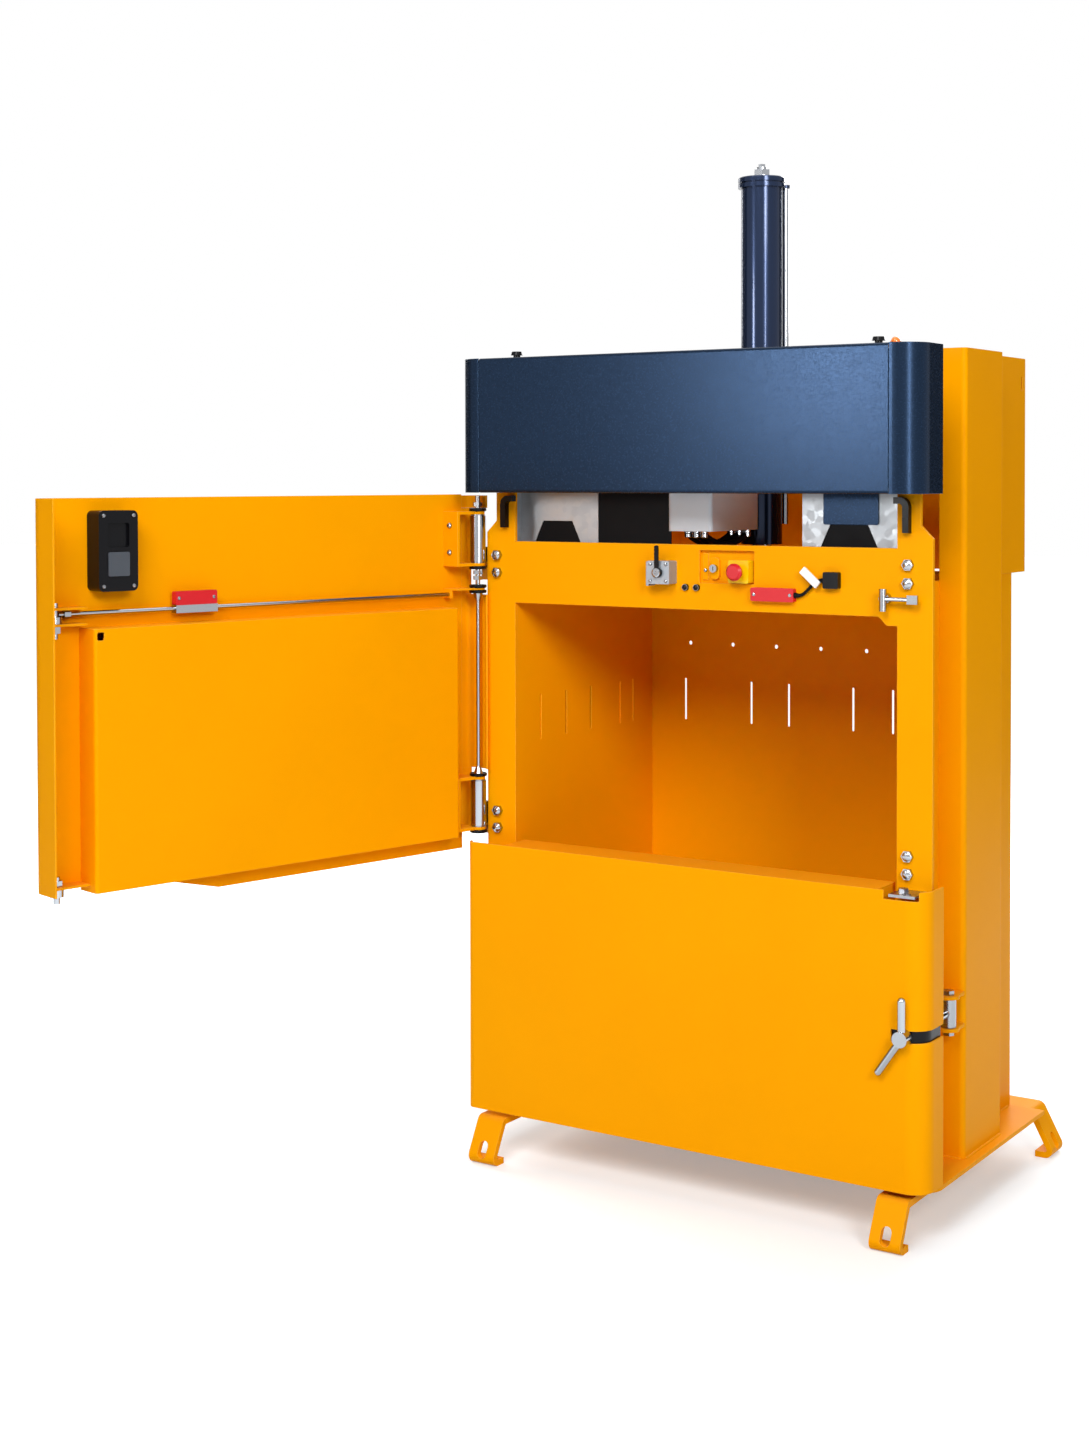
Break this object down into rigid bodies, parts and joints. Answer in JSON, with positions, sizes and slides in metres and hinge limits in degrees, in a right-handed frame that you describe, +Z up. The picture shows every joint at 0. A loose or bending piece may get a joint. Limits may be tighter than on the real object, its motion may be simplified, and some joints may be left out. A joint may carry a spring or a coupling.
{
  "type": "recycling baler",
  "caption": "Upright waste baler: steel chamber on bent feet, swung-open loading door, bale door with a screw lock, hydraulic press plate and hooded head.",
  "frame": {"origin": "on the floor, on the machine's centre line, under the bale door's front face", "axes": "+X to the machine's right as seen from the front, +Y to its back, +Z up"},
  "size_m": [1.2623, 1.626, 1.987],
  "materials": {
    "yellow_paint": "satin powder coat",
    "blue_paint": "hammered powder coat",
    "cylinder_paint": "gloss",
    "zinc": "bright zinc plate",
    "steel": "ground",
    "galvanised": "matt galvanised",
    "grey_paint": "satin",
    "motor_grey": "painted casting",
    "black_rubber": "matt",
    "black_plastic": "matt",
    "red_plastic": "satin",
    "yellow_plastic": "satin",
    "grey_plastic": "matt",
    "switch_grey": "matt",
    "lamp_orange": "clear lens"
  },
  "bodies": {
    "frame": {"base_plate": "yellow_paint", "front_feet": "yellow_paint", "rear_foot_bar": "yellow_paint", "left_wall": "yellow_paint", "right_wall": "yellow_paint", "back_wall": "yellow_paint", "left_column": "yellow_paint", "right_column": "yellow_paint", "front_frame": "yellow_paint", "crosshead": "yellow_paint", "front_cover": "blue_paint", "cover_ends": "blue_paint", "cover_knobs": "black_plastic", "indicator_lamp": "lamp_orange", "rear_cover": "yellow_paint", "cylinder_barrel": "cylinder_paint", "cylinder_cap": "cylinder_paint", "cylinder_fitting": "zinc", "return_pipe": "zinc", "oil_tank": "grey_paint", "pump_motor": "motor_grey", "hydraulic_hoses": "black_rubber", "bracket_plates": "galvanised", "side_screens": "black_rubber", "backing_plate": "blue_paint", "cover_hooks": "black_plastic", "control_panel": "yellow_paint", "estop_base": "yellow_plastic", "key_plate": "yellow_paint", "limit_switch_body": "switch_grey", "door_sensor": "red_plastic", "sensor_lead": "black_rubber", "lead_socket": "black_plastic", "frame_bolts": "zinc", "hinge_barrels": "zinc", "lock_lugs": "yellow_paint", "latch_keeper": "steel"},
    "upper_door": {"upper_door_skin": "yellow_paint", "upper_door_panel": "yellow_paint", "door_shelves": "yellow_paint", "upper_hinge_brackets": "yellow_paint", "upper_hinge_pins": "steel", "hinge_rod": "zinc", "door_lock_bolts": "zinc", "tie_rods": "zinc", "lock_box": "black_plastic", "sensor_actuator": "red_plastic"},
    "lower_door": {"lower_door_skin": "yellow_paint", "lower_door_panel": "yellow_paint", "lower_hinge_brackets": "yellow_paint", "lower_hinge_pins": "steel"},
    "ram": {"piston_rod": "zinc", "press_plate": "yellow_paint"},
    "estop_button": {"estop_button": "red_plastic"},
    "key_switch": {"key_switch": "zinc"},
    "limit_switch_lever": {"limit_switch_lever": "black_plastic"},
    "beam_latch": {"beam_latch": "zinc"},
    "lock_button": {"lock_button": "grey_plastic"},
    "t_handle": {"t_handle": "zinc"},
    "barrel_nut": {"barrel_nut": "steel"}
  },
  "joints": [
    {"name": "upper_door_hinge", "type": "hinge", "parent": "frame", "child": "upper_door", "pos_m": [-0.488, 0.036, 0.95], "axis": [0, 0, 1], "range_deg": [-30, 104]},
    {"name": "lower_door_hinge", "type": "hinge", "parent": "frame", "child": "lower_door", "pos_m": [-0.488, 0.036, 0.37], "axis": [0, 0, 1], "range_deg": [-100, 0]},
    {"name": "t_handle_spin", "type": "hinge", "parent": "lower_door", "child": "t_handle", "pos_m": [0.453, 0.032, 0.378], "axis": [0, 1, 0], "continuous": true},
    {"name": "barrel_nut_turn", "type": "hinge", "parent": "frame", "child": "barrel_nut", "pos_m": [0.453, 0.2, 0.378], "axis": [0, 0, 1], "range_deg": [0, 75]},
    {"name": "ram_slide", "type": "slide", "parent": "frame", "child": "ram", "axis": [0, 0, -1], "range_m": [0, 0.56]},
    {"name": "estop_push", "type": "slide", "parent": "frame", "child": "estop_button", "axis": [0, 1, 0], "range_m": [0, 0.006], "stiffness_N_per_m": 800},
    {"name": "key_turn", "type": "hinge", "parent": "frame", "child": "key_switch", "pos_m": [0.041, 0.058, 1.192], "axis": [0, 1, 0], "range_deg": [0, 90]},
    {"name": "limit_lever_swing", "type": "hinge", "parent": "frame", "child": "limit_switch_lever", "pos_m": [-0.064, 0.03, 1.183], "axis": [0, 1, 0], "range_deg": [-20, 20], "stiffness_Nm_per_rad": 0.3},
    {"name": "beam_latch_turn", "type": "hinge", "parent": "frame", "child": "beam_latch", "pos_m": [0.392, 0.058, 1.146], "axis": [0, 1, 0], "range_deg": [-45, 45]},
    {"name": "lock_button_push", "type": "slide", "parent": "upper_door", "child": "lock_button", "axis": [-0.9703, 0.2419, 0], "range_m": [0, 0.004], "stiffness_N_per_m": 800}
  ]
}
